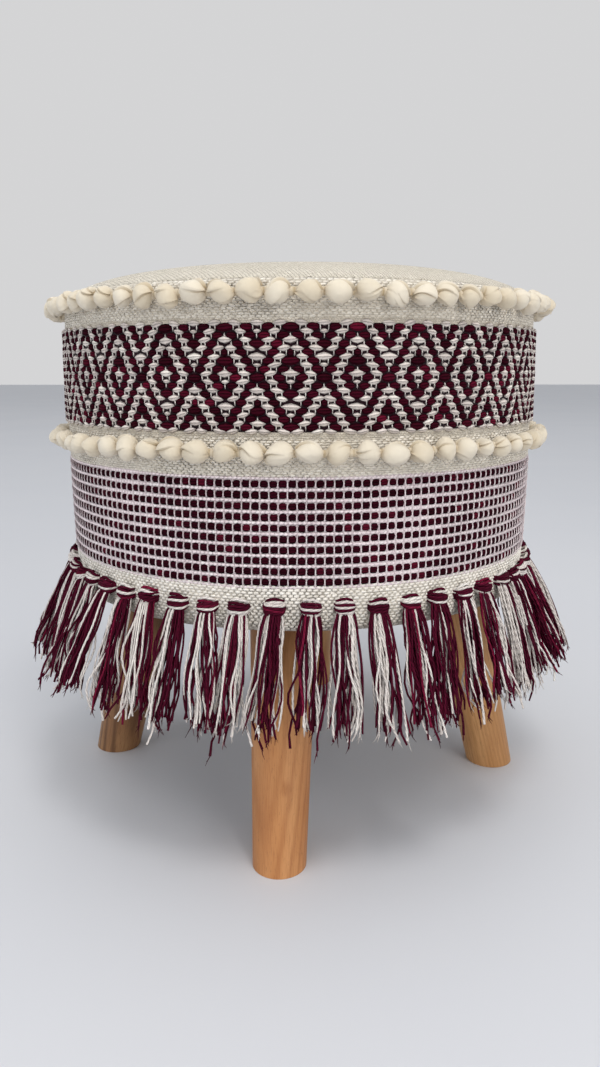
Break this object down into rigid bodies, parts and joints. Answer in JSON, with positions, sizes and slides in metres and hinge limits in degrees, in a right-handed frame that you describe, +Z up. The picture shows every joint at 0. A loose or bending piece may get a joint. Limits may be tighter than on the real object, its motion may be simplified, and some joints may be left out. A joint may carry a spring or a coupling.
{
  "type": "pouf",
  "caption": "Round upholstered pouf: woven side with bobble trims and a tassel fringe, crowned seat over a boarded drum, splayed turned wooden legs.",
  "frame": {"origin": "middle of the floor under the drum, on the drum's own axis", "axes": "+Z up along the drum's axis, the four legs splay along the X and Y axes, the front leg towards -Y"},
  "size_m": [0.482, 0.482, 0.446],
  "materials": {
    "leg_wood": "oiled turned beech, straight grain, satin",
    "frame_wood": "sawn softwood, unfinished",
    "plywood": "birch plywood, unfinished",
    "hardboard": "brown hardboard, smooth side out",
    "steel": "zinc plated",
    "foam": "upholstery foam, matte",
    "wadding": "polyester wadding, matte",
    "side_cloth": "heavy woven cotton, natural, with woven bands",
    "top_cloth": "cotton twill, natural",
    "bobble_jersey": "stuffed cream cotton jersey",
    "burgundy_yarn": "plied cotton yarn, burgundy",
    "white_yarn": "plied cotton yarn, off-white",
    "dust_cloth": "black non-woven cloth"
  },
  "bodies": {
    "root": {"leg_front": "leg_wood", "leg_right": "leg_wood", "leg_back": "leg_wood", "leg_left": "leg_wood", "leg_plate_front": "steel", "leg_plate_right": "steel", "leg_plate_back": "steel", "leg_plate_left": "steel", "hanger_bolts": "steel", "plate_screws": "steel", "base_board": "plywood", "frame_posts": "frame_wood", "seat_board": "plywood", "frame_screws": "steel", "drum_wall": "hardboard", "seat_foam": "foam", "top_wadding": "wadding", "side_wadding": "wadding", "side_cover": "side_cloth", "top_cover": "top_cloth", "upper_bobble_trim": "bobble_jersey", "lower_bobble_trim": "bobble_jersey", "tassels": "burgundy_yarn", "dust_cloth": "dust_cloth", "cover_staples": "steel"}
  },
  "joints": []
}
